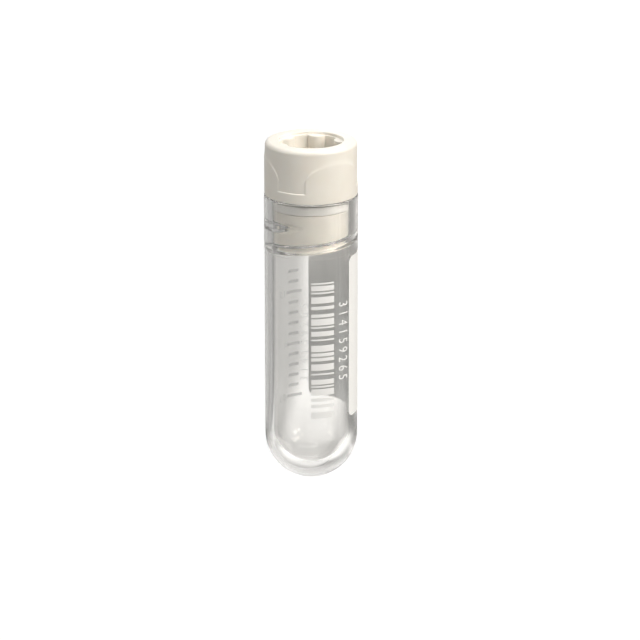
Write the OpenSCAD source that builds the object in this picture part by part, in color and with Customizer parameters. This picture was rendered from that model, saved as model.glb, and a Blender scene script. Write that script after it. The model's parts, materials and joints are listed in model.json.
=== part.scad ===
// Cryogenic vial: a clear round-bottomed tube, an internally threaded screw cap and its seal ring.
// Each piece is drawn upright, with z = 0 at the tube's rim, the cap above it and the printed
// front facing -y. laid_down() then puts the vial on its side, its front up and its cap to +y.

/* [Rest] */
// How far the lying vial is rolled towards +x from its front facing straight up, degrees
rest_roll = 17; // [-180:1:180]

/* [Tube] */
// Outside diameter of the collar round the threads
collar_od = 12.5; // [11.5:0.1:15]
// Length of the tube, from its rim to its round end
tube_len = 39.7; // [32:0.1:60]
// Length of the collar, from the rim down
collar_len = 7.45; // [5:0.05:9]
// How far the collar stands proud of the body
collar_step = 0.04; // [0.02:0.01:0.1]
// Wall thickness of the collar
wall = 1.2; // [1:0.05:1.5]
// Thickness of the floor at the round end
floor_t = 1.8; // [1:0.1:3]
// Rounding chamfer on the rim
rim_chamfer = 0.15; // [0.05:0.05:0.3]

/* [Threads] */
// Axial travel of the cap for one turn
pitch = 3; // [2.5:0.1:3.6]
// Length of the thread ridge, in turns
thread_turns = 1.2; // [0.8:0.1:1.6]
// Height of the ridge off the bore
ridge_h = 0.45; // [0.35:0.05:0.5]
// Width of the ridge where it meets the bore
ridge_root_w = 1.5; // [1:0.05:1.55]
// Width of the ridge at its crest
ridge_crest_w = 0.4; // [0.35:0.05:0.8]
// Depth of the ridge's upper end below the rim
thread_top = 3.55; // [3.3:0.05:4]
// Place of the ridge's upper end, in degrees to the right of the front
thread_top_at = -24; // [-180:1:180]
// Gap between the ridge and the cap's groove on each side
thread_play = 0.15; // [0.1:0.01:0.2]

/* [Cap] */
// Height of the cap's head above the rim
head_h = 7.3; // [5.5:0.1:10]
// How far the head's grips stand inside the collar
head_inset = 0.06; // [0:0.01:0.3]
// Rounding of the head's top edge
head_round = 0.6; // [0.2:0.1:1]
// How far the grips stand proud of the head
grip_relief = 0.09; // [0.05:0.01:0.2]
// Number of arched grips
grip_count = 3; // [2:1:4]
// Half-angle of one grip
grip_half_angle = 41.4; // [20:0.1:41.4]
// Place of the first grip, in degrees to the right of the front
grip_at = 34; // [-180:1:180]
// Height at which the arch of a grip begins
grip_spring_h = 3; // [2:0.1:4]
// Height of the arch of a grip
grip_arch_h = 2.6; // [1:0.1:2.9]
// Height of the band round the foot of the head
band_h = 1.46; // [0.6:0.01:1.9]
// Length of the plug, from the rim down
plug_len = 7; // [6:0.1:9]
// Gap between the plug and the bore
plug_gap = 0.1; // [0.06:0.01:0.2]
// Wall thickness of the plug
plug_wall = 1.65; // [1.4:0.05:2]
// Thickness of the plug's floor
plug_floor = 1.2; // [0.8:0.1:2]
// Lead-in chamfer on the plug's end
plug_chamfer = 0.5; // [0.2:0.05:0.7]
// Gap left between the head and the rim
seat_gap = 0.05; // [0.02:0.01:0.15]

/* [Drive socket] */
// Radius of the shallow recess in the cap's top
recess_r = 4.3; // [4.2:0.05:4.9]
// Depth of the recess
recess_depth = 0.42; // [0.2:0.02:1]
// Radius of the socket between its ribs
socket_r = 4.15; // [3.8:0.05:4.2]
// Depth of the socket below the recess
socket_depth = 4.4; // [3:0.1:5]
// Number of ribs in the socket
rib_count = 6; // [4:1:8]
// Radius of one rib
rib_r = 1.3; // [0.8:0.05:1.4]
// How far a rib reaches into the socket
rib_reach = 0.85; // [0.4:0.05:0.9]
// Place of the first rib, in degrees to the right of the front
rib_at = 109; // [0:1:120]

/* [Seal ring] */
// Depth of the seal below the rim
seal_top = 0.5; // [0.3:0.05:0.7]
// Height of the seal
seal_h = 1.2; // [0.8:0.05:1.4]
// Radial thickness of the seal
seal_t = 0.75; // [0.6:0.05:0.8]
// Rounding of the seal's edges
seal_round = 0.15; // [0.1:0.05:0.3]
// Gap round the seal
seal_gap = 0.05; // [0.02:0.01:0.1]

/* [Hidden] */

$fn = 96;
over = 0.2;              // overshoot of cuts and of buried roots
step_deg = 10;           // angle between the sections of a helix
fade_deg = 30;           // angle over which a thread's end dies away
end_share = 0.3;         // share of its width that a thread keeps at its ends
sunk = 0.05;             // depth behind its wall of a thread's tip at its ends
groove_lead_deg = 16;    // run of the groove past the ridge's upper end
arch_steps = 24;         // chords in the arch of a grip
lip = 0.12;              // small edge chamfers on the cap
clear_of_floor = 0.12;   // gap between the ridge's crest and the groove's floor

collar_r = collar_od / 2;
body_r = collar_r - collar_step;
bore_r = collar_r - wall;
round_z = -tube_len + body_r;          // centre of the round end
bore_end_z = -tube_len + floor_t + bore_r;
crest_r = bore_r - ridge_h;
flank = (ridge_root_w - ridge_crest_w) / ridge_h;   // width lost for each unit of height

grip_r = collar_r - head_inset;
head_r = grip_r - grip_relief;
plug_r = bore_r - plug_gap;
core_r = plug_r - plug_wall;
groove_floor_r = crest_r - clear_of_floor;
recess_z = head_h - recess_depth;
socket_z = recess_z - socket_depth;
rib_centre = socket_r - rib_reach + rib_r;

seal_out_r = bore_r - seal_gap;
seal_in_r = seal_out_r - seal_t;
neck_r = seal_in_r - seal_gap;

// Width of the thread's section at a radius, with a gap on each side
function width_at(r, gap) = ridge_root_w - flank * (bore_r - r) + 2 * gap;

// Height of the thread's centre line at an angle
function helix_z(deg) = -thread_top + pitch * (deg - thread_top_at) / 360;

// A point at a radius and an angle to the right of the front
function at(r, deg, z) = [r * sin(deg), -r * cos(deg), z];

// How far from its ends a helix has grown to its full section, from 0 to 1
function grown(deg, from, to) = max(0, min(1, (deg - from) / fade_deg, (to - deg) / fade_deg));

// One section of a helical bar, its outer side at root_r and its inner side between rest_r and tip_r
function section(deg, k, root_r, rest_r, tip_r, gap) =
    let (inner_r = rest_r + (tip_r - rest_r) * k,
         squeeze = end_share + (1 - end_share) * k,
         w_root = width_at(root_r, gap) * squeeze / 2,
         w_tip = width_at(inner_r, gap) * squeeze / 2,
         z = helix_z(deg))
    [at(root_r, deg, z - w_root), at(inner_r, deg, z - w_tip),
     at(inner_r, deg, z + w_tip), at(root_r, deg, z + w_root)];

// Helical bar between two angles, closed at both ends
module helical_bar(from, to, root_r, rest_r, tip_r, gap) {
    steps = ceil((to - from) / step_deg);
    points = [for (i = [0:steps])
        let (deg = from + (to - from) * i / steps)
        each section(deg, grown(deg, from, to), root_r, rest_r, tip_r, gap)];
    sides = [for (i = [0:steps - 1], j = [0:3])
        let (a = 4 * i + j, b = a + 4, d = 4 * i + (j + 1) % 4, c = d + 4)
        each [[a, b, c], [a, c, d]]];
    last = 4 * steps;
    ends = [[0, 1, 2], [0, 2, 3], [last + 2, last + 1, last], [last + 3, last + 2, last]];
    polyhedron(points = points, faces = concat(sides, ends));
}

// Ridge of the thread, its root buried in the wall of the tube
module thread_ridge() {
    helical_bar(from = thread_top_at - 360 * thread_turns, to = thread_top_at,
                root_r = bore_r + over, rest_r = bore_r + sunk, tip_r = crest_r, gap = 0);
}

// Groove in the plug, open at the plug's end so that the ridge can enter it
module thread_groove() {
    run_in = (plug_len - thread_top + 2 * ridge_root_w) / pitch * 360 + fade_deg;
    helical_bar(from = thread_top_at - run_in, to = thread_top_at + groove_lead_deg,
                root_r = plug_r + over, rest_r = plug_r + sunk, tip_r = groove_floor_r,
                gap = thread_play);
}

// Cylinder from one height up to another
module post(r, from, to) {
    translate([0, 0, from]) cylinder(r = r, h = to - from);
}

// Cone between two radii
module taper(r_low, r_high, from, to) {
    translate([0, 0, from]) cylinder(r1 = r_low, r2 = r_high, h = to - from);
}

// Outside of the tube: round end, body, and collar with a chamfered foot and rim
module tube_outside() {
    translate([0, 0, round_z]) sphere(r = body_r);
    post(body_r, round_z, -rim_chamfer - over);
    taper(body_r, collar_r, -collar_len, -collar_len + collar_step);
    post(collar_r, -collar_len + collar_step, -rim_chamfer);
    taper(collar_r, collar_r - rim_chamfer, -rim_chamfer, 0);
}

// Inside of the tube: round floor, bore and the chamfer of its mouth
module tube_inside() {
    translate([0, 0, bore_end_z]) sphere(r = bore_r);
    post(bore_r, bore_end_z, over);
    taper(bore_r, bore_r + rim_chamfer + over, -rim_chamfer, over);
}

module tube() {
    color([0.9, 0.93, 0.93, 0.45]) {
        difference() {
            tube_outside();
            tube_inside();
        }
        thread_ridge();
    }
}

// Half of the outline of a head or ring: a block with its outer corner rounded
module rounded_block(r_in, r_out, height, round) {
    translate([r_in, 0]) square([r_out - r_in - round, height]);
    translate([r_in, 0]) square([r_out - r_in, height - round]);
    translate([r_out - round, height - round]) circle(r = round);
}

// Outline of one grip: a straight foot under half an ellipse
module grip_outline() {
    half_w = grip_r * sin(grip_half_angle);
    arch = [for (i = [0:arch_steps])
        let (t = 180 * i / arch_steps)
        [half_w * cos(t), grip_spring_h + grip_arch_h * sin(t)]];
    polygon(concat([[-half_w, seat_gap + lip], [half_w, seat_gap + lip]], arch));
}

// Head of the cap with its foot band and arched grips
module head() {
    translate([0, 0, seat_gap]) rotate_extrude()
        rounded_block(0, head_r, head_h - seat_gap, head_round);
    taper(grip_r - lip, grip_r, seat_gap, seat_gap + lip);
    post(grip_r, seat_gap + lip, band_h);
    for (i = [0:grip_count - 1])
        intersection() {
            post(grip_r, seat_gap, head_h - head_round);
            rotate(grip_at + 360 * i / grip_count) rotate([90, 0, 0])
                linear_extrude(height = collar_od) grip_outline();
        }
}

// Plug of the cap, with a lead-in chamfer at its end
module plug() {
    post(plug_r, -plug_len + plug_chamfer, seat_gap + over);
    taper(plug_r - plug_chamfer, plug_r, -plug_len, -plug_len + plug_chamfer);
}

// Outline of the drive socket: a circle with round ribs standing into it
module socket_outline() {
    difference() {
        circle(r = socket_r);
        for (i = [0:rib_count - 1])
            rotate(rib_at - 90 + 360 * i / rib_count) translate([rib_centre, 0]) circle(r = rib_r);
    }
}

// Recess, socket and the round core below it
module socket() {
    post(recess_r, recess_z, head_h + over);
    taper(recess_r, recess_r + lip + over, head_h - lip, head_h + over);
    translate([0, 0, socket_z]) linear_extrude(height = socket_depth + over) socket_outline();
    post(core_r, -plug_len + plug_floor, socket_z + over);
}

// Groove round the neck of the plug, where the seal sits
module seal_groove() {
    difference() {
        post(plug_r + over, -seal_top - seal_h - seal_gap, -seal_top + seal_gap);
        post(neck_r, -seal_top - seal_h - over, -seal_top + over);
    }
}

module screw_cap() {
    color([0.93, 0.91, 0.86])
        difference() {
            union() {
                head();
                plug();
            }
            socket();
            seal_groove();
            thread_groove();
        }
}

// Seal ring: a rounded bar of rubber in the groove under the head
module seal_ring() {
    color([0.86, 0.87, 0.86])
        translate([0, 0, -seal_top - seal_h]) rotate_extrude()
            translate([seal_in_r + seal_round, seal_round])
                offset_bar(seal_t - 2 * seal_round, seal_h - 2 * seal_round, seal_round);
}

// Rectangle with round corners, the corners' centres at its own corners
module offset_bar(width, height, round) {
    translate([-round, 0]) square([width + 2 * round, height]);
    translate([0, -round]) square([width, height + 2 * round]);
    for (x = [0, width], y = [0, height])
        translate([x, y]) circle(r = round);
}

// Puts an upright piece on its side, centred over the origin and resting on z = 0
module laid_down() {
    translate([0, (tube_len - head_h) / 2, collar_r])
        rotate([0, rest_roll, 0]) rotate([-90, 0, 0]) children();
}

laid_down() tube();
laid_down() screw_cap();
laid_down() seal_ring();
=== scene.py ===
import json
import bmesh
import bpy
import numpy as np
from mathutils import Matrix, Vector


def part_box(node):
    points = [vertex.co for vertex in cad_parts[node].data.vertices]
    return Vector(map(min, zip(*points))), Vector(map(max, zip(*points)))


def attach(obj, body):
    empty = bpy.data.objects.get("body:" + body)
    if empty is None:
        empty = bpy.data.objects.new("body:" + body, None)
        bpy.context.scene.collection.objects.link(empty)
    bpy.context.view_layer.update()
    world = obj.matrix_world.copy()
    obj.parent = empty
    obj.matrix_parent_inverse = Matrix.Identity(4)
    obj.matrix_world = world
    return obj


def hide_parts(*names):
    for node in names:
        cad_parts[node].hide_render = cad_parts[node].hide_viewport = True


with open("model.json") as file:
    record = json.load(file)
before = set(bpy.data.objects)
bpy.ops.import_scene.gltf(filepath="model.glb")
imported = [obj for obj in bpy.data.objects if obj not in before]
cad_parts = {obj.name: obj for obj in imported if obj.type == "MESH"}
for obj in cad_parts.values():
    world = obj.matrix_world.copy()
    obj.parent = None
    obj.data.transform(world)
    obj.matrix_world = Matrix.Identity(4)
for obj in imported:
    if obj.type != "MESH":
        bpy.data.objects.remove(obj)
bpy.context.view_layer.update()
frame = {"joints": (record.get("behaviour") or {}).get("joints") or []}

mm = 0.001

tubeLow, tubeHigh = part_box("tube")
capLow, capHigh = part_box("screw_cap")
capAxis = next(joint["pos_m"] for joint in frame["joints"] if joint["name"] == "cap_turn")

# where the vial lies: sizes below are in mm, heights are over the tube's rim with the cap upwards,
# and azimuths are degrees to the right of the printed front
lying = {
    "roll": 17.0,           # turn about its axis that brings the front off straight up
    "rimY": tubeHigh.y,
    "axisX": capAxis[0],
    "axisZ": capAxis[2],
}


def place(radius, azimuth, height):
    # x and z are the axis plus the radius times the sine and the cosine of the azimuth, rolled;
    # y is the rim plus the height
    turn = np.radians(np.asarray(azimuth, float) + lying["roll"])
    radius, turn, height = np.broadcast_arrays(radius, turn, height)
    x = lying["axisX"] + radius * np.sin(turn) * mm
    y = lying["rimY"] + height * mm
    z = lying["axisZ"] + radius * np.cos(turn) * mm
    return np.stack([x, y, z], axis=-1)


def direction(azimuth, lift):
    # the way out from the axis at an azimuth, lifted towards the cap by an angle
    turn = np.radians(azimuth + lying["roll"])
    rise = np.radians(lift)
    return Vector((np.sin(turn) * np.cos(rise), np.sin(rise), np.cos(turn) * np.cos(rise)))


# the camera stands square on to the printed front, lifted towards the cap
camera = {
    "distance": 450.0,      # mm from the point it looks at
    "lift": 18.2,           # degrees
    "lookAt": -17.72,       # height of that point on the axis
    "aside": 1.19,          # the vial sits this far left of the middle
    "lens": 188.8,
    "sensor": 36.0,
    "clip": (0.01, 20.0),   # m
}


def addCamera():
    back = direction(0, camera["lift"])
    upward = direction(180, 90 - camera["lift"])
    right = upward.cross(back)
    target = Vector(place(0, 0, camera["lookAt"])) + right * camera["aside"] * mm
    data = bpy.data.cameras.new("camera")
    data.lens = camera["lens"]
    data.sensor_width = camera["sensor"]
    data.clip_start, data.clip_end = camera["clip"]
    eye = bpy.data.objects.new("camera", data)
    turn = Matrix((right, upward, back)).transposed().to_4x4()
    eye.matrix_world = Matrix.Translation(target + back * camera["distance"] * mm) @ turn
    bpy.context.scene.collection.objects.link(eye)
    bpy.context.scene.camera = eye


class Sock:
    # wraps a socket, so that an expression on values adds its Math nodes
    def __init__(self, tree, socket):
        self.tree = tree
        self.socket = socket

    def maths(self, operation, other):
        return self.tree.node("ShaderNodeMath", {"operation": operation}, {0: self, 1: other})

    def __add__(self, other):
        return self.maths("ADD", other)

    def __sub__(self, other):
        return self.maths("SUBTRACT", other)

    def __rsub__(self, other):
        return (self * -1.0) + other

    def __mul__(self, other):
        return self.maths("MULTIPLY", other)

    __radd__ = __add__
    __rmul__ = __mul__

    def atMost(self, other):
        return self.maths("MINIMUM", other)

    def atLeast(self, other):
        return self.maths("MAXIMUM", other)

    def steps(self, low, high, share=1.0):
        # 0 up to low, the share from high on, smooth between; low may be the larger
        settings = {"interpolation_type": "SMOOTHSTEP"}
        inputs = {"Value": self, "From Min": low, "From Max": high, "To Max": share}
        return self.tree.node("ShaderNodeMapRange", settings, inputs)


class Tree:
    # a material's or the world's nodes, each added by one call
    def __init__(self, owner):
        owner.use_nodes = True
        self.nodes = owner.node_tree.nodes
        self.links = owner.node_tree.links
        self.nodes.clear()

    def node(self, kind, settings, inputs, output=0):
        made = self.nodes.new(kind)
        for name, value in settings.items():
            setattr(made, name, value)
        for name, value in inputs.items():
            if isinstance(value, Sock):
                self.links.new(value.socket, made.inputs[name])
            elif made.inputs[name].type == "RGBA":
                made.inputs[name].default_value = (*value[:3], 1.0)
            else:
                made.inputs[name].default_value = value
        return Sock(self, made.outputs[output]) if made.outputs else None

    def objectPoint(self, scale=(1, 1, 1)):
        # Object coordinates, in mm
        point = self.node("ShaderNodeTexCoord", {}, {}, output="Object")
        inputs = {"Vector": point, "Scale": [size / mm for size in scale]}
        return self.node("ShaderNodeMapping", {"vector_type": "POINT"}, inputs)

    def along(self, point, number):
        # one of a point's values: 0 for x, 1 for y, 2 for z
        return self.node("ShaderNodeSeparateXYZ", {}, {"Vector": point}, output=number)

    def noise(self, point, scale, detail=3.0, roughness=0.5):
        inputs = {"Vector": point, "Scale": scale, "Detail": detail, "Roughness": roughness}
        return self.node("ShaderNodeTexNoise", {}, inputs)

    def mixColour(self, factor, first, second):
        settings = {"data_type": "RGBA", "blend_type": "MIX"}
        return self.node("ShaderNodeMix", settings, {0: factor, 6: first, 7: second}, output=2)

    def mixShader(self, factor, first, second):
        return self.node("ShaderNodeMixShader", {}, {0: factor, 1: first, 2: second})

    def bump(self, height, strength, deep):
        inputs = {"Height": height, "Strength": strength, "Distance": deep * mm}
        return self.node("ShaderNodeBump", {}, inputs)

    def light(self, *kinds):
        # 1 for rays of any of these kinds
        found = [self.node("ShaderNodeLightPath", {}, {}, output=kind) for kind in kinds]
        total = found[0]
        for other in found[1:]:
            total = total.atLeast(other)
        return total

    def surface(self, shader):
        self.node("ShaderNodeOutputMaterial", {}, {"Surface": shader})


def newMaterial(name):
    material = bpy.data.materials.new(name)
    return material, Tree(material)


# in every finish: scales are counts to the mm, a pair beside a noise is the stretch of it over
# which one colour turns into the other, and a bump is a strength and a depth in mm
clearFinish = {
    "tint": (0.998, 0.993, 0.984),
    "milk": (0.98, 0.974, 0.962),
    "flow": (1.0, 0.18, 1.0),           # the melt ran along the tube
    "flowScale": 0.9,
    "streaks": (0.35, 0.75),
    "hazeScale": 2.6,
    "flowShare": 0.7,                   # of the skin's bumps, the rest being haze
    "bump": (0.07, 0.02),
    "rough": 0.055,
    "roughSpread": 0.03,
    "ior": 1.49,
    "clear": 0.96,
    "shade": (0.63, 0.64, 0.65),        # of the lamps' light on its way through
}


def clearPlastic():
    # clear, with milky streaks of flow and a faint haze; the lamps shine through it on what is
    # behind, so its shadow is only a light shade
    finish = clearFinish
    material, tree = newMaterial("clearPlastic")
    streak = tree.noise(tree.objectPoint(finish["flow"]), finish["flowScale"], detail=2.0)
    haze = tree.noise(tree.objectPoint(), finish["hazeScale"], detail=4.0)
    height = streak * finish["flowShare"] + haze * (1 - finish["flowShare"])
    shader = tree.node("ShaderNodeBsdfPrincipled", {}, {
        "Base Color": tree.mixColour(streak.steps(*finish["streaks"]), finish["tint"], finish["milk"]),
        "Roughness": finish["rough"] + (haze - 0.5) * finish["roughSpread"],
        "IOR": finish["ior"],
        "Transmission Weight": finish["clear"],
        "Normal": tree.bump(height, *finish["bump"]),
    })
    through = tree.node("ShaderNodeBsdfTransparent", {}, {"Color": finish["shade"]})
    tree.surface(tree.mixShader(tree.light("Is Shadow Ray"), shader, through))
    return material


capFinish = {
    "cream": (0.89, 0.845, 0.765),
    "pale": (0.92, 0.885, 0.815),
    "cloudScale": 0.35,
    "grainScale": 9.0,
    "speckScale": 28.0,
    "cloudShare": 0.7,                  # of the colour, the rest being grain
    "clouds": (0.3, 0.75),
    "grainShare": 0.6,                  # of the skin's bumps, the rest being specks
    "bump": (0.3, 0.012),
    "rough": 0.36,
    "roughSpread": 0.12,
    "soft": 0.12,                       # how much light goes under the skin, and how far in mm
    "softFar": 0.5,
    "softColours": (1.0, 0.8, 0.6),
}


def capPlastic():
    # cream plastic with faint clouds, and a fine grain in its sheen
    finish = capFinish
    material, tree = newMaterial("capPlastic")
    point = tree.objectPoint()
    cloud = tree.noise(point, finish["cloudScale"])
    grain = tree.noise(point, finish["grainScale"], roughness=0.6)
    speck = tree.noise(point, finish["speckScale"], detail=2.0)
    mottle = cloud * finish["cloudShare"] + grain * (1 - finish["cloudShare"])
    height = grain * finish["grainShare"] + speck * (1 - finish["grainShare"])
    tree.surface(tree.node("ShaderNodeBsdfPrincipled", {}, {
        "Base Color": tree.mixColour(mottle.steps(*finish["clouds"]), finish["cream"], finish["pale"]),
        "Roughness": finish["rough"] + (grain - 0.5) * finish["roughSpread"],
        "Subsurface Weight": finish["soft"],
        "Subsurface Radius": finish["softColours"],
        "Subsurface Scale": finish["softFar"] * mm,
        "Normal": tree.bump(height, *finish["bump"]),
    }))
    return material


sealFinish = {
    "body": (0.935, 0.915, 0.875),
    "bloom": (0.965, 0.95, 0.915),
    "bloomScale": 3.0,
    "blooms": (0.3, 0.8),
    "bump": (0.3, 0.02),
    "rough": 0.5,
    "roughSpread": 0.2,
    "soft": 0.2,
    "softFar": 0.4,
    "softColours": (1.0, 1.0, 1.0),
}


def siliconeRubber():
    # matt rubber with a pale bloom
    finish = sealFinish
    material, tree = newMaterial("siliconeRubber")
    bloom = tree.noise(tree.objectPoint(), finish["bloomScale"], detail=4.0, roughness=0.6)
    tree.surface(tree.node("ShaderNodeBsdfPrincipled", {}, {
        "Base Color": tree.mixColour(bloom.steps(*finish["blooms"]), finish["body"], finish["bloom"]),
        "Roughness": finish["rough"] + (bloom - 0.5) * finish["roughSpread"],
        "Subsurface Weight": finish["soft"],
        "Subsurface Radius": finish["softColours"],
        "Subsurface Scale": finish["softFar"] * mm,
        "Normal": tree.bump(bloom, *finish["bump"]),
    }))
    return material


inkFinish = {
    "body": (0.985, 0.987, 0.98),
    "thin": (0.94, 0.945, 0.94),
    "patchScale": 5.0,
    "dotScale": 30.0,
    "patchShare": 0.7,                  # of the colour, the rest being dots
    "patches": (0.35, 0.6),
    "bump": (0.25, 0.006),
    "rough": 0.42,
    "roughSpread": 0.15,
    "through": 0.02,                    # of the light that goes through the ink
    "full": 1.0,                        # share of what lies behind that the ink hides
    "faint": 0.3,                       # and that the thin ink of the scale hides
}


def whiteInk(name, cover):
    # white ink that lies thinner in patches and dots, a little light coming through it
    finish = inkFinish
    material, tree = newMaterial(name)
    point = tree.objectPoint()
    patch = tree.noise(point, finish["patchScale"], detail=4.0, roughness=0.65)
    dots = tree.noise(point, finish["dotScale"], detail=2.0)
    wear = patch * finish["patchShare"] + dots * (1 - finish["patchShare"])
    shader = tree.node("ShaderNodeBsdfPrincipled", {}, {
        "Base Color": tree.mixColour(wear.steps(*finish["patches"]), finish["thin"], finish["body"]),
        "Roughness": finish["rough"] + (patch - 0.5) * finish["roughSpread"],
        "Normal": tree.bump(dots, *finish["bump"]),
    })
    glow = tree.node("ShaderNodeBsdfTranslucent", {}, {"Color": finish["thin"]})
    layer = tree.mixShader(finish["through"], shader, glow)
    gaps = tree.node("ShaderNodeBsdfTransparent", {}, {"Color": (1, 1, 1)})
    tree.surface(tree.mixShader(cover, gaps, layer))
    return material


def meshFrom(name, points, quads, triangles=()):
    # a mesh from arrays, its faces turned outwards where the volume they close comes out negative
    triangles = np.asarray(triangles, int).reshape(-1, 3)
    halves = np.concatenate([quads[:, [0, 1, 2]], quads[:, [0, 2, 3]], triangles])
    corners = points[halves]
    volume = np.einsum("ij,ij->", corners[:, 0], np.cross(corners[:, 1], corners[:, 2]))
    if volume < 0:
        quads = quads[:, ::-1]
        triangles = triangles[:, ::-1]
    mesh = bpy.data.meshes.new(name)
    mesh.vertices.add(len(points))
    mesh.vertices.foreach_set("co", points.astype(np.float32).ravel())
    loops = np.concatenate([quads.ravel(), triangles.ravel()]).astype(np.int32)
    totals = np.concatenate([np.full(len(quads), 4), np.full(len(triangles), 3)]).astype(np.int32)
    mesh.loops.add(len(loops))
    mesh.loops.foreach_set("vertex_index", loops)
    mesh.polygons.add(len(totals))
    mesh.polygons.foreach_set("loop_start", (np.cumsum(totals) - totals).astype(np.int32))
    mesh.polygons.foreach_set("use_smooth", np.ones(len(totals), bool))
    mesh.update(calc_edges=True)
    mesh.validate()
    return mesh


def roundShell(name, rings, poles=None):
    # rings is a grid of points whose rows run round the axis; it is closed at both ends by a pole
    # each, or end to end if there are none
    rows, cols = rings.shape[:2]
    index = np.arange(rows * cols).reshape(rows, cols)
    points = rings.reshape(-1, 3)
    triangles = []
    if poles is None:
        index = np.vstack([index, index[:1]])
    across = np.roll(index, -1, axis=1)
    quads = np.stack([index[:-1], across[:-1], across[1:], index[1:]], axis=-1).reshape(-1, 4)
    if poles is not None:
        points = np.concatenate([points, np.asarray(poles).reshape(2, 3)])
        first = np.full(cols, rows * cols)
        start = np.stack([first, across[0], index[0]], axis=-1)
        end = np.stack([first + 1, index[-1], across[-1]], axis=-1)
        triangles = np.concatenate([start, end])
    return meshFrom(name, points, quads, triangles)


def rounded(corners, spacing=0.4, bends=5):
    # the line through corners of radius, height and rounding: each corner is an arc of that
    # rounding, with a row close to each end of each straight run and rows between
    nearEnd = 0.04
    shortRun = 0.15
    almostStraight = 1.5                # half the angle at a corner, in radians
    corners = [np.array(corner, float) for corner in corners]
    line = [corners[0][:2]]
    for before, here, after in zip(corners, corners[1:], corners[2:]):
        inward = (before - here)[:2] / np.linalg.norm((before - here)[:2])
        outward = (after - here)[:2] / np.linalg.norm((after - here)[:2])
        half = np.arccos(np.clip(inward @ outward, -1, 1)) / 2
        if here[2] == 0 or half > almostStraight:
            line.append(here[:2])
            continue
        reach = here[2] / np.tan(half)
        start = here[:2] + inward * reach
        end = here[:2] + outward * reach
        middle = (inward + outward) / np.linalg.norm(inward + outward)
        centre = here[:2] + middle * here[2] / np.sin(half)
        for step in np.linspace(0, 1, bends + 1):
            chord = start + (end - start) * step - centre
            line.append(centre + chord / np.linalg.norm(chord) * here[2])
    line.append(corners[-1][:2])
    rows = [line[0]]
    for start, end in zip(line, line[1:]):
        run = np.linalg.norm(end - start)
        count = max(1, int(np.ceil(run / spacing)))
        stops = np.linspace(0, 1, count + 1)[1:]
        if run > shortRun:
            near = nearEnd / run
            stops = np.unique(np.concatenate([stops, [near, 1 - near]]))
        rows.extend(start + (end - start) * stop for stop in stops)
    return np.array(rows)


def between(start, end, count):
    # rows from start to end without start itself; either of them may vary round the axis
    return start + np.linspace(0, 1, count + 1)[1:, None] * (end - start)


def plainRows(profile, around):
    # the same radius and height all round
    return np.repeat(profile[:, :1], around, axis=1), np.repeat(profile[:, 1:], around, axis=1)


def allRound(around):
    # azimuths of a row's points
    return np.linspace(-180, 180, around, endpoint=False)[None, :]


def fromMiddle(azimuth, at, number, count):
    # degrees from the middle of one of several like parts spread evenly round the axis
    return (azimuth - at - 360 * number / count + 180) % 360 - 180


def smooth(share):
    # 3 times the square less 2 times the cube
    share = np.clip(share, 0, 1)
    return share * share * (3 - 2 * share)


def addPiece(name, mesh, material, body, stands=None):
    piece = bpy.data.objects.new(name, mesh)
    bpy.context.scene.collection.objects.link(piece)
    mesh.materials.append(material)
    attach(piece, body)
    if stands:
        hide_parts(stands)


# the screw thread that the tube's ridge and the cap's groove share
thread = {
    "pitch": 3.0,
    "turns": 1.2,
    "top": -3.55,           # height of the ridge's upper end
    "topAt": -24.0,         # azimuth of that end
    "rootWide": 1.5,
    "crestWide": 0.4,
    "high": 0.45,
    "play": 0.15,           # between the ridge and the groove, on each side
    "floorPlay": 0.12,      # between the crest and the groove's floor
    "leadIn": 16.0,         # degrees that the groove runs on past the ridge's upper end
    "fade": 30.0,           # degrees over which each end dies away
    "tipWide": 0.3,         # share of its width that is left at each end
}


def helixRise(azimuth, height, starts, ends, rootWide, crestWide, high):
    # how far a helical bar stands off its wall: at each turn the flank falls from the crest to the
    # root with the distance from the helix line, and the bar shrinks towards both its ends
    rise = np.zeros(np.broadcast_shapes(azimuth.shape, height.shape))
    for turn in range(-3, 2):           # every turn on which either bar can lie
        unrolled = azimuth + 360.0 * turn
        grown = np.clip(np.minimum(unrolled - starts, ends - unrolled) / thread["fade"], 0, 1)
        middle = thread["top"] + thread["pitch"] * (unrolled - thread["topAt"]) / 360
        squeeze = thread["tipWide"] + (1 - thread["tipWide"]) * grown
        root = rootWide * squeeze / 2
        crest = crestWide * squeeze / 2
        flank = smooth((root - np.abs(height - middle)) / (root - crest))
        rise = np.maximum(rise, flank * high * smooth(grown))
    return rise


tube = {
    "collarR": (tubeHigh.x - tubeLow.x) / 2 / mm,
    "length": (tubeHigh.y - tubeLow.y) / mm,
    "step": 0.04,           # collar over body
    "collarLong": 7.45,
    "footRound": 0.05,
    "wall": 1.2,
    "floor": 1.8,
    "rimRound": 0.15,
    "fineFrom": -2.6,       # heights between which fine rows carry the ridge
    "fineTo": -8.2,
    "fineRow": 0.04,
    "boreRowAt": -20.0,
    "endRows": 40,          # of the round end, and of the round floor in the bore
    "floorRows": 36,
    "around": 256,
}
tube["bodyR"] = tube["collarR"] - tube["step"]
tube["boreR"] = tube["collarR"] - tube["wall"]
tube["roundAt"] = tube["bodyR"] - tube["length"]                        # centre of the round end
tube["boreEndAt"] = tube["floor"] + tube["boreR"] - tube["length"]      # and of the round floor


def quarterRound(radius, centre, steps):
    # a quarter circle from just off the pole up to the level of its centre
    angle = np.radians(90.0 * np.arange(1, steps + 1) / steps)
    return np.stack([radius * np.sin(angle), centre - radius * np.cos(angle)], axis=-1)


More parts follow.
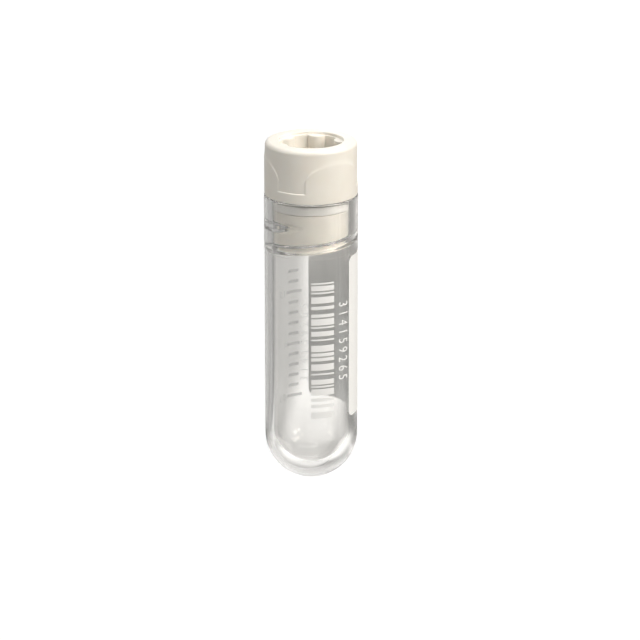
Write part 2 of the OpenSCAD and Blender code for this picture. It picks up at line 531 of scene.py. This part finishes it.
def makeTube(material):
    # one profile from the outer pole, up the outside, over the rim and down the bore to the inner
    # pole; in the bore the ridge takes its rise off the radius
    bodyR, outR, boreR = tube["bodyR"], tube["collarR"], tube["boreR"]
    rim, foot, fine = tube["rimRound"], tube["footRound"], tube["fineRow"]
    outside = rounded([
        (bodyR, tube["roundAt"], 0),
        (bodyR, -tube["collarLong"], foot),
        (outR, -tube["collarLong"] + tube["step"], foot),
        (outR, 0, rim),
        (boreR, 0, rim),
        (boreR, tube["fineFrom"], 0),
    ], spacing=0.8)
    heights = np.arange(tube["fineFrom"] - fine, tube["fineTo"] + 0.1, -fine)
    bore = rounded([
        (boreR, tube["fineTo"], 0),
        (boreR, tube["boreRowAt"], 0),
        (boreR, tube["boreEndAt"], 0),
    ], spacing=1.2)
    profile = np.concatenate([
        quarterRound(bodyR, tube["roundAt"], tube["endRows"])[:-1],
        outside,
        np.stack([np.full(len(heights), boreR), heights], axis=-1),
        bore,
        quarterRound(boreR, tube["boreEndAt"], tube["floorRows"])[-2::-1],
    ])
    azimuth = allRound(tube["around"])
    radius, height = plainRows(profile, tube["around"])
    ridge = helixRise(azimuth, height, thread["topAt"] - 360 * thread["turns"], thread["topAt"],
                      thread["rootWide"], thread["crestWide"], thread["high"])
    onBore = np.abs(radius - boreR) < 0.001
    points = place(radius - ridge * onBore, azimuth, height)
    poles = [place(0, 0, -tube["length"]), place(0, 0, tube["floor"] - tube["length"])]
    mesh = roundShell("tubeShell", points, poles)
    addPiece("tubeShell", mesh, material, "tube", "tube")


cap = {
    "headHigh": (capHigh.y - tubeHigh.y) / mm,
    "plugLong": (tubeHigh.y - capLow.y) / mm,
    "gripR": tube["collarR"] - 0.06,
    "relief": 0.09,         # grips and foot band over the head
    "edge": 0.07,           # width of the soft step round a grip
    "widens": 14.0,         # how much more of it there is at the top of an arch
    "seam": 0.045,          # depth of the fine line in that step
    "topRound": 0.6,
    "gripAt": 34.0,
    "grips": 3,
    "gripHalf": 41.4,
    "springAt": 3.0,
    "archHigh": 2.6,
    "bandHigh": 1.46,
    "seatGap": 0.05,
    "plugR": tube["boreR"] - 0.1,
    "plugChamfer": 0.5,
    "chamferRound": 0.1,
    "plugWall": 1.65,
    "plugFloor": 1.2,
    "neckR": 4.20,
    "neckRound": 0.06,
    "sealGroove": (-1.75, -0.45),
    "recessR": 4.3,
    "recessDeep": 0.42,
    "recessRound": 0.05,
    "socketR": 4.15,
    "socketDeep": 4.4,
    "ribs": 6,
    "ribAt": 109.0,
    "ribR": 1.3,
    "ribReach": 0.85,
    "coreRound": 0.3,
    "edgeRound": 0.12,
    "fineRow": 0.05,        # between the rows that carry the groove
    "bandZone": 0.09,       # rows crowd this near to the foot band's edge and the arches' tops
    "archZone": 0.14,
    "rows": {"band": 9, "lower": 19, "arch": 9, "upper": 17, "socket": 15, "ledge": 3, "lip": 5},
    "lipRound": 0.06,
    "around": 320,
}
cap["headR"] = cap["gripR"] - cap["relief"]
cap["coreR"] = cap["plugR"] - cap["plugWall"]


def gripCover(azimuth, height):
    # 1 on a grip, 0 off it: the distance to the outline, which is a straight foot under half an
    # ellipse as seen square on to the grip, over the width of its soft step, which widens with the
    # square of the height up the arch
    half = cap["gripR"] * np.sin(np.radians(cap["gripHalf"]))
    cover = np.zeros(np.broadcast_shapes(azimuth.shape, height.shape))
    for number in range(cap["grips"]):
        off = fromMiddle(azimuth, cap["gripAt"], number, cap["grips"])
        across = cap["gripR"] * np.sin(np.radians(np.clip(off, -90, 90)))
        up = np.maximum(height - cap["springAt"], 0)
        reach = np.sqrt((across / half) ** 2 + (up / cap["archHigh"]) ** 2)
        slope = np.sqrt((across / half ** 2) ** 2 + (up / cap["archHigh"] ** 2) ** 2)
        inArch = (1 - reach) * reach / np.maximum(slope, 0.01)
        inside = np.where(up > 0, inArch, half - np.abs(across))
        soft = cap["edge"] * (1 + cap["widens"] * (up / cap["archHigh"]) ** 2)
        cover = np.maximum(cover, smooth(inside / soft + 0.5))
    return cover


def gripTop(azimuth):
    # height of the grips' arches at each azimuth, and of their spring between the grips
    half = cap["gripR"] * np.sin(np.radians(cap["gripHalf"]))
    top = np.full(azimuth.shape, cap["springAt"])
    for number in range(cap["grips"]):
        off = fromMiddle(azimuth, cap["gripAt"], number, cap["grips"])
        across = cap["gripR"] * np.sin(np.radians(np.clip(off, -90, 90))) / half
        arch = cap["archHigh"] * np.sqrt(np.clip(1 - across ** 2, 0, 1))
        top = np.maximum(top, cap["springAt"] + arch)
    return top


def socketOutline(azimuth):
    # radius of the socket: its circle, or where it is nearer the near side of a rib's circle, which
    # is the rib centre's radius times cos minus the root of the rib radius and that radius times
    # sin, both squared
    centre = cap["socketR"] - cap["ribReach"] + cap["ribR"]
    outline = np.full(azimuth.shape, cap["socketR"])
    for number in range(cap["ribs"]):
        off = np.radians(fromMiddle(azimuth, cap["ribAt"], number, cap["ribs"]))
        inside = cap["ribR"] ** 2 - (centre * np.sin(off)) ** 2
        near = centre * np.cos(off) - np.sqrt(np.maximum(inside, 0))
        outline = np.where((inside > 0) & (np.cos(off) > 0), np.minimum(outline, near), outline)
    return outline


def plugRows(around):
    # from the plug's end up to the top of the foot band, round the groove of the seal; each part
    # starts a little past the last row of the one before
    plugR, neckR, end = cap["plugR"], cap["neckR"], -cap["plugLong"]
    chamfer, blunt, bend = cap["plugChamfer"], cap["chamferRound"], cap["neckRound"]
    grooveLow, grooveHigh = cap["sealGroove"]
    foot = rounded([
        (plugR - chamfer - 0.2, end, 0),
        (plugR - chamfer, end, blunt),
        (plugR, end + chamfer, blunt),
        (plugR, end + 0.7, 0),
    ], spacing=0.12)
    heights = np.arange(end + 0.75, grooveLow - 0.3, cap["fineRow"])
    wall = np.stack([np.full(len(heights), plugR), heights], axis=-1)
    neck = rounded([
        (plugR, grooveLow - 0.25, 0),
        (plugR, grooveLow, bend),
        (neckR, grooveLow, bend),
        (neckR, grooveHigh, bend),
        (plugR, grooveHigh, bend),
        (plugR, cap["seatGap"], blunt),
        (cap["gripR"], cap["seatGap"], cap["edgeRound"]),
        (cap["gripR"], cap["bandHigh"] - 0.12, 0),
    ])
    return [plainRows(profile, around) for profile in (foot, wall, neck)]


def headRows(azimuth):
    # from the foot band up the head, the rows crowding round the band's edge and the arches' tops
    rows, band, step = cap["rows"], cap["bandHigh"], cap["relief"]
    bandZone, archZone = cap["bandZone"], cap["archZone"]
    top = gripTop(azimuth)
    shoulder = cap["headHigh"] - cap["topRound"]
    height = np.concatenate([
        np.linspace(band - bandZone, band + bandZone, rows["band"])[:, None] + 0 * top,
        between(band + bandZone, top - archZone - 0.02, rows["lower"]),
        np.linspace(-archZone, archZone, rows["arch"])[:, None] + top,
        between(top + archZone, shoulder, rows["upper"]),
    ])
    onBand = smooth((band + step / 2 - height) / step)
    cover = gripCover(azimuth, height)
    # the seam runs where a grip's step is half way up, and dies away towards the arch's top
    fading = np.clip(1 - (height - cap["springAt"]) / cap["archHigh"], 0, 1)
    seam = cap["seam"] * 4 * cover * (1 - cover) * fading * (1 - onBand)
    radius = cap["headR"] + step * np.maximum(onBand, cover) - seam
    recessR, recessAt = cap["recessR"], cap["headHigh"] - cap["recessDeep"]
    crown = rounded([
        (cap["headR"], shoulder + 0.02, 0),
        (cap["headR"], cap["headHigh"], cap["topRound"] - 0.03),
        (recessR, cap["headHigh"], cap["edgeRound"]),
        (recessR, recessAt, cap["recessRound"]),
        (recessR - 0.08, recessAt, 0),
    ], spacing=0.3, bends=8)
    return [(radius, height), plainRows(crown, azimuth.shape[1])]


def socketRows(azimuth):
    # the lip, the wall and the ledge round the core follow the ribbed outline, the core is round
    rows, lip = cap["rows"], cap["lipRound"]
    outline = socketOutline(azimuth)
    top = cap["headHigh"] - cap["recessDeep"]
    floor = top - cap["socketDeep"]
    turn = np.radians(np.linspace(0, 90, rows["lip"]))[:, None]
    wall = between(top - lip + 0 * outline, floor, rows["socket"])
    ledge = between(outline, np.minimum(cap["coreR"], outline - 0.02), rows["ledge"])
    coreFloor = cap["plugFloor"] - cap["plugLong"]
    core = rounded([
        (cap["coreR"], floor - 0.05, 0),
        (cap["coreR"], coreFloor, cap["coreRound"]),
        (0.4, coreFloor, 0),
    ], spacing=0.7)
    return [
        (outline + lip * (1 - np.sin(turn)), top - lip * (1 - np.cos(turn)) + 0 * outline),
        (outline + 0 * wall, wall),
        (ledge, floor + 0 * ledge),
        plainRows(core, azimuth.shape[1]),
    ]


def makeCap(material):
    # one profile from the plug's end up the outside and down the socket to the floor of its core;
    # on the plug the groove takes its depth off the radius
    plugR, rootWide, pitch = cap["plugR"], thread["rootWide"], thread["pitch"]
    azimuth = allRound(cap["around"])
    parts = plugRows(cap["around"]) + headRows(azimuth) + socketRows(azimuth)
    radius, height = [np.concatenate(rows) for rows in zip(*parts)]

    # the groove is the ridge's profile with play, and runs out at the plug's end
    runOut = (cap["plugLong"] + thread["top"] + 2 * rootWide) / pitch * 360 + thread["fade"]
    slope = (rootWide - thread["crestWide"]) / thread["high"]
    floorR = tube["boreR"] - thread["high"] - thread["floorPlay"]
    mouthWide = rootWide - slope * (tube["boreR"] - plugR) + 2 * thread["play"]
    floorWide = rootWide - slope * (tube["boreR"] - floorR) + 2 * thread["play"]
    groove = helixRise(azimuth, height, thread["topAt"] - runOut,
                       thread["topAt"] + thread["leadIn"], mouthWide, floorWide, plugR - floorR)
    onPlug = (height < cap["sealGroove"][0]) & (radius > plugR - cap["plugChamfer"] - 0.1)
    radius = np.where(onPlug, np.minimum(radius, plugR - groove), radius)
    poles = [place(0, 0, -cap["plugLong"]), place(0, 0, cap["plugFloor"] - cap["plugLong"])]
    mesh = roundShell("capShell", place(radius, azimuth, height), poles)
    addPiece("capShell", mesh, material, "cap", "screw_cap")


seal = {
    "outR": 5.0,
    "thick": 0.75,
    "top": -0.5,
    "high": 1.2,
    "round": 0.15,
    "around": 192,
}


def makeSeal(material):
    # a rounded bar carried round the axis, closed end to end
    bend = np.radians(np.arange(0, 91, 15))
    corner = np.stack([np.cos(bend), np.sin(bend)], axis=-1) * seal["round"]
    halfWide, halfHigh = seal["thick"] / 2 - seal["round"], seal["high"] / 2 - seal["round"]
    middle = np.array([seal["outR"] - seal["thick"] / 2, seal["top"] - seal["high"] / 2])
    bar = []
    for right, up in ((1, 1), (-1, 1), (-1, -1), (1, -1)):
        arc = corner * (right, up) + (right * halfWide, up * halfHigh) + middle
        bar.append(arc if right * up > 0 else arc[::-1])
    bar = np.concatenate(bar)
    mesh = roundShell("sealRing", place(bar[:, :1], allRound(seal["around"]), bar[:, 1:]))
    addPiece("sealRing", mesh, material, "seal", "seal_ring")


# the print, thin fields of white ink that ride on the tube: from, to and at are azimuths
ink = {
    "sunk": 0.01,           # below the tube's surface
    "proud": 0.02,          # above it
    "panel": {"from": 54.0, "to": 184.0, "top": -7.75, "foot": -30.15, "corner": 0.9},
    "code": {"from": 0.24, "to": 29.3, "top": -10.6, "foot": -29.75, "modules": 88},
    "scale": {
        "top": -12.25, "foot": -30.02, "marks": 13, "line": 0.42, "from": 199.0, "to": 216.0,
        "longFrom": 194.0, "longTo": 220.0, "longFirst": 2, "longEvery": 5,
        "figures": ("1.5", "1", "0.5"), "figuresAt": 221.5, "figureHigh": 0.95,
        "perFigure": 0.75, "less": 0.3,     # a label is this wide a figure, less this, in heights
    },
    "digits": "314159265",
    "number": {"at": 43.6, "top": -13.7, "foot": -24.5, "high": 1.55},
    "copy": {"at": -8.6, "top": -13.4, "foot": -24.2, "high": 1.1},
    "spread": 1.6,          # between the digits, 1 being the font's own
    "thinner": -0.003,      # off the figures' edges, in figure heights
    "strip": 0.25,          # figures bend round the tube in strips this wide
    "rowHigh": 1.0,         # and fields in rows and columns, in mm and degrees
    "colWide": 3.0,
}


def inkShell(azimuth, height):
    # a closed shell over a grid of azimuths and heights: the grid once outside and once inside the
    # tube's surface, joined round its edge
    azimuth, height = np.broadcast_arrays(azimuth, height)
    rows, cols = azimuth.shape
    outer = place(tube["bodyR"] + ink["proud"], azimuth, height)
    inner = place(tube["bodyR"] - ink["sunk"], azimuth, height)
    index = np.arange(rows * cols).reshape(rows, cols)
    faces = np.stack([index[:-1, :-1], index[:-1, 1:], index[1:, 1:], index[1:, :-1]], axis=-1)
    faces = faces.reshape(-1, 4)
    edge = np.concatenate([index[0, :-1], index[:-1, -1], index[-1, :0:-1], index[:0:-1, 0]])
    following = np.roll(edge, -1)
    rim = np.stack([edge, following, following + rows * cols, edge + rows * cols], axis=-1)
    points = np.concatenate([outer.reshape(-1, 3), inner.reshape(-1, 3)])
    return points, np.concatenate([faces[:, ::-1], faces + rows * cols, rim])


def inkField(start, end, top, foot, corner=0.0):
    # a rectangle on the tube whose sides draw in at both ends by the corner circle's formula, the
    # corner radius less the root of its square less the square of the depth into the corner
    rows = np.linspace(top, foot, max(2, int((top - foot) / ink["rowHigh"]) + 1))
    if corner > 0:
        bend = corner * (1 - np.cos(np.radians(np.linspace(0, 90, 9))))
        straight = rows[(rows < top - corner) & (rows > foot + corner)]
        rows = np.concatenate([top - bend, straight, (foot + bend)[::-1]])
    depth = np.clip(corner - np.minimum(top - rows, rows - foot), 0, corner)
    drawnIn = corner - np.sqrt(np.maximum(corner ** 2 - depth ** 2, 0))
    drawnIn = np.degrees(drawnIn / tube["bodyR"])[:, None]
    share = np.linspace(0, 1, max(3, int((end - start) / ink["colWide"]) + 2))[None, :]
    azimuth = (start + drawnIn) + share * (end - start - 2 * drawnIn)
    return inkShell(azimuth, rows[:, None])


def codeBars():
    # bars one to four modules wide with gaps of one to three, from a plain remainder rule
    code = ink["code"]
    module = (code["top"] - code["foot"]) / code["modules"]
    bars = []
    at = number = 0
    while at < code["modules"]:
        wide = min(1 + (number * 5 + number * number) % 7 % 4, code["modules"] - at)
        top = code["top"] - at * module
        bars.append(inkField(code["from"], code["to"], top, top - wide * module))
        at += wide + 1 + number * 3 % 5 % 3
        number += 1
    return bars


def scaleHeights():
    # heights of the scale's marks, spread evenly from its top to its foot
    scale = ink["scale"]
    return np.linspace(scale["top"], scale["foot"], scale["marks"])


def scaleMarks():
    # evenly spaced lines round the tube, some of them long ones
    scale = ink["scale"]
    marks = []
    for number, middle in enumerate(scaleHeights()):
        isLong = number % scale["longEvery"] == scale["longFirst"]
        start, end = (scale["longFrom"], scale["longTo"]) if isLong else (scale["from"], scale["to"])
        marks.append(inkField(start, end, middle + scale["line"] / 2, middle - scale["line"] / 2))
    return marks


def joined(shells):
    # several shells as one set of points and faces
    points, faces = zip(*shells)
    counts = np.cumsum([0] + [len(own) for own in points[:-1]])
    faces = [own + count for own, count in zip(faces, counts)]
    return np.concatenate(points), np.concatenate(faces)


def makeInk(name, shells, material):
    points, faces = joined(shells)
    mesh = meshFrom(name, points, faces)
    mesh.shade_flat()
    addPiece(name, mesh, material, "tube")


def pointsOf(mesh):
    # the mesh's points as an array of x, y and z
    points = np.empty(len(mesh.vertices) * 3)
    mesh.vertices.foreach_get("co", points)
    return points.reshape(-1, 3)


def makeFigures(name, words, material, azimuth, height, high, long=0, turned=0, spread=1.0):
    # figures wrapped on the tube: across the text is an arc and up it is a height, or the other way
    # about where the text is turned to run down (1) or up (-1) the tube; long is how far it runs,
    # if not as its height has it
    curve = bpy.data.curves.new(name, "FONT")
    curve.body = words
    curve.align_x = "CENTER"
    curve.align_y = "CENTER"
    curve.size = 1.0
    curve.extrude = 0.5
    curve.offset = ink["thinner"]
    curve.space_character = spread
    curve.resolution_u = 4
    flat = bpy.data.objects.new(name + "Flat", curve)
    bpy.context.scene.collection.objects.link(flat)
    graph = bpy.context.evaluated_depsgraph_get()
    mesh = bpy.data.meshes.new_from_object(flat.evaluated_get(graph))
    bpy.data.objects.remove(flat)
    bpy.data.curves.remove(curve)
    size = np.ptp(pointsOf(mesh), axis=0)
    tall = high / size[1]
    stretch = long / size[0] if long else tall

    # thin strips, so that the text can bend round the tube
    work = bmesh.new()
    work.from_mesh(mesh)
    bmesh.ops.remove_doubles(work, verts=work.verts, dist=1e-5)
    side = 1 if turned else 0
    normal = Vector((1 - side, side, 0))
    reach = size[side] / 2
    for cut in np.arange(-reach, reach, ink["strip"] / (tall if turned else stretch)):
        everything = work.verts[:] + work.edges[:] + work.faces[:]
        bmesh.ops.bisect_plane(work, geom=everything, plane_co=normal * cut, plane_no=normal, dist=1e-6)
    work.to_mesh(mesh)
    work.free()

    points = pointsOf(mesh)
    points[:, :2] -= (points[:, :2].max(axis=0) + points[:, :2].min(axis=0)) / 2
    along, up = points[:, 0] * stretch, points[:, 1] * tall
    radius = tube["bodyR"] + np.where(points[:, 2] > 0, ink["proud"], -ink["sunk"])
    arc, rise = {0: (along, up), 1: (up, -along), -1: (-up, along)}[turned]
    wrapped = place(radius, azimuth + np.degrees(arc / tube["bodyR"]), height + rise)
    mesh.vertices.foreach_set("co", wrapped.astype(np.float32).ravel())
    mesh.update()
    mesh.materials.clear()
    addPiece(name, mesh, material, "tube")


def makePrint(material, thin):
    # each figure of the scale starts at one azimuth, so its middle is half its width further on
    panel = ink["panel"]
    field = inkField(panel["from"], panel["to"], panel["top"], panel["foot"], panel["corner"])
    makeInk("writingPanel", [field], material)
    makeInk("codeBars", codeBars(), material)
    makeInk("scaleMarks", scaleMarks(), thin)
    for name, turned in (("number", 1), ("copy", -1)):
        run = ink[name]
        middle = (run["top"] + run["foot"]) / 2
        makeFigures(name + "Figures", ink["digits"], material, run["at"], middle, run["high"],
                    long=run["top"] - run["foot"], turned=turned, spread=ink["spread"])
    scale = ink["scale"]
    high = scale["figureHigh"]
    for words, height in zip(scale["figures"], scaleHeights()[scale["longFirst"]::scale["longEvery"]]):
        wide = high * (scale["perFigure"] * len(words) - scale["less"])
        at = scale["figuresAt"] + np.degrees(wide / 2 / tube["bodyR"])
        makeFigures("scale" + words.replace(".", "_"), words, thin, at, height, high)


# strengths and colours of the floor and the room; a strength of 1 is white
studio = {
    "floorWide": 3.0,
    "floorSunk": 0.00003,   # m, keeps the floor clear of what lies on it
    "floorGrey": (0.55, 0.55, 0.55),
    "floorPale": (0.57, 0.57, 0.57),
    "mottleScale": 0.01,    # counts to the mm
    "shadeGrey": (0.35, 0.35, 0.35),
    "floorGlow": 0.86,      # of the floor that the camera sees, over the lamps' light on it
    "dimGlow": 0.05,        # of the sheet that the clear tube shows, at its darkest
    "brightGlow": 1.0,      # and at its brightest
    "warm": (1.0, 0.993, 0.972),        # colour of that sheet
    "white": (1.0, 1.0, 1.0),
    "ceiling": (0.25, 0.247, 0.237),
    "paleWall": (0.77, 0.75, 0.715),
    "darkWall": (0.105, 0.102, 0.095),
    "wallTop": (0.6, 0.15),             # from ceiling to wall, as the height of a direction
    "paleAcross": (-0.5, 0.6),          # from dark to pale wall, as its x
    "paleAlong": (-0.45, -0.1),         # and as its y
}
# the sheet of light that the clear tube shows, in mm on the floor with the cap towards +y: where
# a part of it sets in, where it is full and, if that isn't 1, the share of light it then has
sheet = {
    "farLeft": (-30.0, -22.0, 0.24),
    "left": (-14.0, -9.0, 0.16),
    "middle": (-5.0, -1.2, 0.6),
    "rightEnd": (8.0, 1.5),
    "leanFrom": -9.0,                   # past here towards the foot the middle leans to the left
    "lean": 0.35,                       # by this for each mm
    "rightLean": 0.45,                  # and its right end by this share of that
    "dimmer": (-13.0, -19.0, 0.25),     # shares that the middle loses towards the foot
    "dimmest": (-18.0, -25.0, 0.35),
    "past": (-32.0, -38.0),             # light past the foot, behind a slanting edge
    "slant": 1.6,
    "slantEdge": (3.0, -4.0),
    "pastLeft": (-10.0, -18.0, 0.3),
    "pastLeast": 0.7,
    "footRight": (3.0, 7.0, 0.85),      # light beside the foot, on its right and on its left
    "footRightAlong": (-18.0, -23.0),
    "footLeft": (-4.0, -8.0, 0.55),
    "footLeftAlong": (-21.0, -25.0),
}
# a lamp is at an azimuth and a lift, so many metres from the height on the axis that it faces;
# wide and long are metres too
lamps = {
    "key": {"at": 62.0, "lift": 33.0, "far": 0.75, "wide": 0.5, "long": 0.4, "watts": 5.9,
            "aimAt": -12.0, "colour": (1.0, 0.955, 0.89)},
    "top": {"at": -30.0, "lift": 83.0, "far": 0.6, "wide": 0.3, "long": 0.3, "watts": 2.1,
            "aimAt": 0.0, "colour": (0.96, 0.98, 1.0)},
    "fill": {"at": -75.0, "lift": 12.0, "far": 0.75, "wide": 0.35, "long": 0.4, "watts": 1.05,
             "aimAt": -8.0, "colour": (1.0, 0.985, 0.96)},
    "foot": {"at": -10.0, "lift": -50.0, "far": 0.5, "wide": 0.4, "long": 0.06, "watts": 0.2,
             "aimAt": -30.0, "colour": (1.0, 1.0, 1.0)},
}


def sheetLight(tree, point):
    # how bright the sheet is at a point of the floor, from 0 to 1
    x = tree.along(point, 0)
    y = tree.along(point, 1)
    lean = (y - sheet["leanFrom"]).atMost(0.0) * sheet["lean"]
    across = x.steps(*sheet["farLeft"]) + x.steps(*sheet["left"])
    across = across + (x - lean).steps(*sheet["middle"])
    down = 1.0 - y.steps(*sheet["dimmer"]) - y.steps(*sheet["dimmest"])
    middle = across * (x - lean * sheet["rightLean"]).steps(*sheet["rightEnd"]) * down
    past = y.steps(*sheet["past"]) * (y - x * sheet["slant"]).steps(*sheet["slantEdge"])
    past = past * (x.steps(*sheet["pastLeft"]) + sheet["pastLeast"])
    right = y.steps(*sheet["footRightAlong"]) * x.steps(*sheet["footRight"])
    left = y.steps(*sheet["footLeftAlong"]) * x.steps(*sheet["footLeft"])
    return middle.atLeast(past.atLeast(right + left))


def glowing(tree, base, colour, strength):
    # a shader with an even glow added to it
    glow = tree.node("ShaderNodeEmission", {}, {"Color": colour, "Strength": strength})
    return tree.node("ShaderNodeAddShader", {}, {0: base, 1: glow})


def addFloor():
    # the camera sees a white floor that keeps the vial's shadow, the clear tube shows the sheet of
    # light, and all other rays find a plain pale floor
    material, tree = newMaterial("paleFloor")
    point = tree.objectPoint()
    darker, paler, grey = [
        tree.node("ShaderNodeBsdfDiffuse", {}, {"Color": studio[name]})
        for name in ("floorGrey", "floorPale", "shadeGrey")
    ]
    mottle = tree.noise(point, studio["mottleScale"], detail=2.0)
    plain = tree.mixShader(mottle, darker, paler)
    seen = glowing(tree, grey, studio["white"], studio["floorGlow"])
    dim = glowing(tree, grey, studio["warm"], studio["dimGlow"])
    bright = glowing(tree, plain, studio["warm"], studio["brightGlow"])
    graded = tree.mixShader(sheetLight(tree, point), dim, bright)
    behind = tree.mixShader(tree.light("Is Glossy Ray", "Is Transmission Ray"), plain, graded)
    tree.surface(tree.mixShader(tree.light("Is Camera Ray"), behind, seen))

    half = studio["floorWide"] / 2
    corners = np.array([(-half, -half), (half, -half), (half, half), (-half, half)])
    points = np.column_stack([corners, np.full(4, -studio["floorSunk"])])
    mesh = bpy.data.meshes.new("floor")
    mesh.from_pydata(points.tolist(), [], [(0, 1, 2, 3)])
    mesh.materials.append(material)
    floor = bpy.data.objects.new("floor", mesh)
    bpy.context.scene.collection.objects.link(floor)


def addWorld():
    # white to the camera; to other rays a grey ceiling over a wall that is pale towards +x and
    # the cap, and dark elsewhere
    world = bpy.data.worlds.new("studio")
    bpy.context.scene.world = world
    tree = Tree(world)
    way = tree.node("ShaderNodeTexCoord", {}, {}, output="Generated")
    x, y, z = [tree.along(way, number) for number in range(3)]
    side = x.steps(*studio["paleAcross"]) * y.steps(*studio["paleAlong"])
    wall = tree.mixColour(side, studio["darkWall"], studio["paleWall"])
    room = tree.mixColour(z.steps(*studio["wallTop"]), studio["ceiling"], wall)
    colour = tree.mixColour(tree.light("Is Camera Ray"), room, studio["white"])
    back = tree.node("ShaderNodeBackground", {}, {"Color": colour, "Strength": 1.0})
    tree.node("ShaderNodeOutputWorld", {}, {"Surface": back})


def addLamp(name, lamp):
    # a soft rectangle facing the vial, its length along the vial
    data = bpy.data.lights.new(name, "AREA")
    data.shape = "RECTANGLE"
    data.size = lamp["wide"]
    data.size_y = lamp["long"]
    data.energy = lamp["watts"]
    data.color = lamp["colour"]
    aim = Vector(place(0, 0, lamp["aimAt"]))
    out = direction(lamp["at"], lamp["lift"])
    side = Vector((0, 1, 0)).cross(out).normalized()
    turn = Matrix((side, out.cross(side), out)).transposed().to_4x4()
    lit = bpy.data.objects.new(name, data)
    lit.matrix_world = Matrix.Translation(aim + out * lamp["far"]) @ turn
    lit.visible_camera = False
    bpy.context.scene.collection.objects.link(lit)


addCamera()
addFloor()
addWorld()
for name, lamp in lamps.items():
    addLamp(name, lamp)
print("stage: camera, floor, world and lamps")

makeTube(clearPlastic())
print("stage: tube")
makeCap(capPlastic())
makeSeal(siliconeRubber())
print("stage: cap and seal")
makePrint(whiteInk("whiteInk", inkFinish["full"]), whiteInk("thinInk", inkFinish["faint"]))
print("stage: print")

bpy.context.scene.view_settings.view_transform = "Standard"
bpy.context.scene.cycles.glossy_bounces = 12         # light runs far along the clear wall
